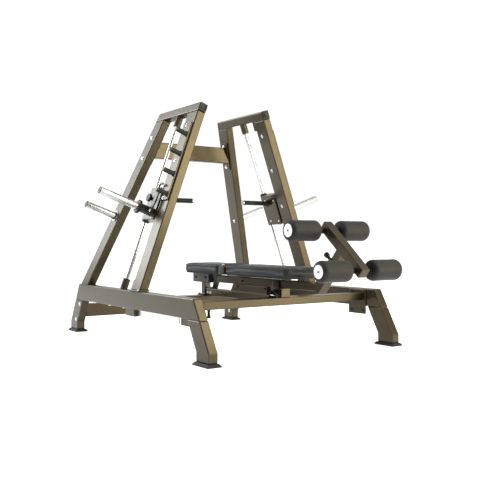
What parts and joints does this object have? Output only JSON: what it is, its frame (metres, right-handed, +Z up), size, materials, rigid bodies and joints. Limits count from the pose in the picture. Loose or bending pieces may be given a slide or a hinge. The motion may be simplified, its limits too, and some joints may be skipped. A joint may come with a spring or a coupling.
{
  "type": "plate-loaded press with leg hold bench",
  "caption": "Plate-loaded press with leaning guide towers, sliding weight carriages, turning handles, a padded bench and a roller leg hold.",
  "frame": {"origin": "on the floor under the middle of the whole machine", "axes": "+X from the left tower to the right one, +Y from the leg hold towards the head end, +Z up"},
  "size_m": [1.838, 2.5124, 1.6316],
  "materials": {
    "bronze_paint": "satin metallic paint",
    "chrome": "polished",
    "dark_paint": "satin dark paint",
    "foam": "smooth foam skin",
    "plastic": "matt",
    "rubber": "matt",
    "steel": "brushed",
    "vinyl": "fine grained upholstery vinyl"
  },
  "bodies": {
    "frame": {"bench_front_saddle": "bronze_paint", "bench_rear_post": "bronze_paint", "bench_side_box": "bronze_paint", "bench_spine": "bronze_paint", "bench_tube": "bronze_paint", "front_cross_beam": "bronze_paint", "head_pad": "vinyl", "head_pad_brace": "dark_paint", "head_pad_saddle": "dark_paint", "left_base_plate": "bronze_paint", "left_front_column": "bronze_paint", "left_front_foot": "rubber", "left_front_leg": "bronze_paint", "left_guide_rod": "chrome", "left_lower_socket": "bronze_paint", "left_peg_rail": "bronze_paint", "left_rear_column": "bronze_paint", "left_rear_foot": "rubber", "left_rear_leg": "bronze_paint", "left_side_beam": "bronze_paint", "left_storage_horn": "chrome", "left_top_beam": "bronze_paint", "main_pad": "vinyl", "mid_cross_beam": "bronze_paint", "panel_bracket": "dark_paint", "rear_cross_beam": "bronze_paint", "right_base_plate": "bronze_paint", "right_front_column": "bronze_paint", "right_front_foot": "rubber", "right_front_leg": "bronze_paint", "right_guide_rod": "chrome", "right_lower_socket": "bronze_paint", "right_peg_rail": "bronze_paint", "right_rear_column": "bronze_paint", "right_rear_foot": "rubber", "right_rear_leg": "bronze_paint", "right_side_beam": "bronze_paint", "right_storage_horn": "chrome", "right_top_beam": "bronze_paint", "side_panel": "steel", "upper_cross_beam": "bronze_paint"},
    "left_carriage": {"left_carriage_block": "bronze_paint", "left_horn_mount": "dark_paint", "left_weight_horn": "chrome"},
    "left_handle": {"left_handle_bar": "chrome", "left_grip": "rubber"},
    "left_hook": {"left_safety_hook": "dark_paint"},
    "right_carriage": {"right_carriage_block": "bronze_paint", "right_horn_mount": "dark_paint", "right_weight_horn": "chrome"},
    "right_handle": {"right_handle_bar": "chrome", "right_grip": "rubber"},
    "right_hook": {"right_safety_hook": "dark_paint"},
    "leg_hold": {"leg_hold_arm": "bronze_paint"},
    "upper_left_roller_body": {"upper_left_roller": "foam"},
    "upper_right_roller_body": {"upper_right_roller": "foam"},
    "lower_left_roller_body": {"lower_left_roller": "foam"},
    "lower_right_roller_body": {"lower_right_roller": "foam"},
    "pop_pin_body": {"pop_pin": "plastic"}
  },
  "joints": [
    {"name": "left_carriage_slide", "type": "slide", "parent": "frame", "child": "left_carriage", "axis": [0.342, 0, 0.9397], "range_m": [-0.408, 0.432]},
    {"name": "left_handle_turn", "type": "hinge", "parent": "left_carriage", "child": "left_handle", "pos_m": [-0.44537, 0.26485, 0.975], "axis": [1, 0, 0], "range_deg": [0, 35]},
    {"name": "left_hook_turn", "type": "hinge", "parent": "left_carriage", "child": "left_hook", "pos_m": [-0.58063, 0.19385, 0.8953], "axis": [0.9397, 0, -0.342], "range_deg": [0, 35]},
    {"name": "right_carriage_slide", "type": "slide", "parent": "frame", "child": "right_carriage", "axis": [-0.342, 0, 0.9397], "range_m": [-0.408, 0.432]},
    {"name": "right_handle_turn", "type": "hinge", "parent": "right_carriage", "child": "right_handle", "pos_m": [0.44537, 0.26485, 0.975], "axis": [1, 0, 0], "range_deg": [0, 35]},
    {"name": "right_hook_turn", "type": "hinge", "parent": "right_carriage", "child": "right_hook", "pos_m": [0.58063, 0.19385, 0.8953], "axis": [0.9397, 0, 0.342], "range_deg": [0, 35]},
    {"name": "leg_hold_slide", "type": "slide", "parent": "frame", "child": "leg_hold", "axis": [0, -0.6487, 0.7611], "range_m": [-0.03, 0.08]},
    {"name": "upper_left_roller_spin", "type": "hinge", "parent": "leg_hold", "child": "upper_left_roller_body", "pos_m": [-0.1895, -0.93115, 0.753], "axis": [1, 0, 0], "continuous": true},
    {"name": "upper_right_roller_spin", "type": "hinge", "parent": "leg_hold", "child": "upper_right_roller_body", "pos_m": [0.1895, -0.93115, 0.753], "axis": [1, 0, 0], "continuous": true},
    {"name": "lower_left_roller_spin", "type": "hinge", "parent": "leg_hold", "child": "lower_left_roller_body", "pos_m": [-0.1895, -1.19515, 0.528], "axis": [1, 0, 0], "continuous": true},
    {"name": "lower_right_roller_spin", "type": "hinge", "parent": "leg_hold", "child": "lower_right_roller_body", "pos_m": [0.1895, -1.19515, 0.528], "axis": [1, 0, 0], "continuous": true},
    {"name": "pop_pin_pull", "type": "slide", "parent": "frame", "child": "pop_pin_body", "axis": [0, 0.7611, 0.6487], "range_m": [-0.01, 0.012]}
  ],
  "couplings": [
    {"joint": "left_hook_turn", "follows": "left_handle_turn", "ratio": 1},
    {"joint": "right_hook_turn", "follows": "right_handle_turn", "ratio": 1}
  ]
}
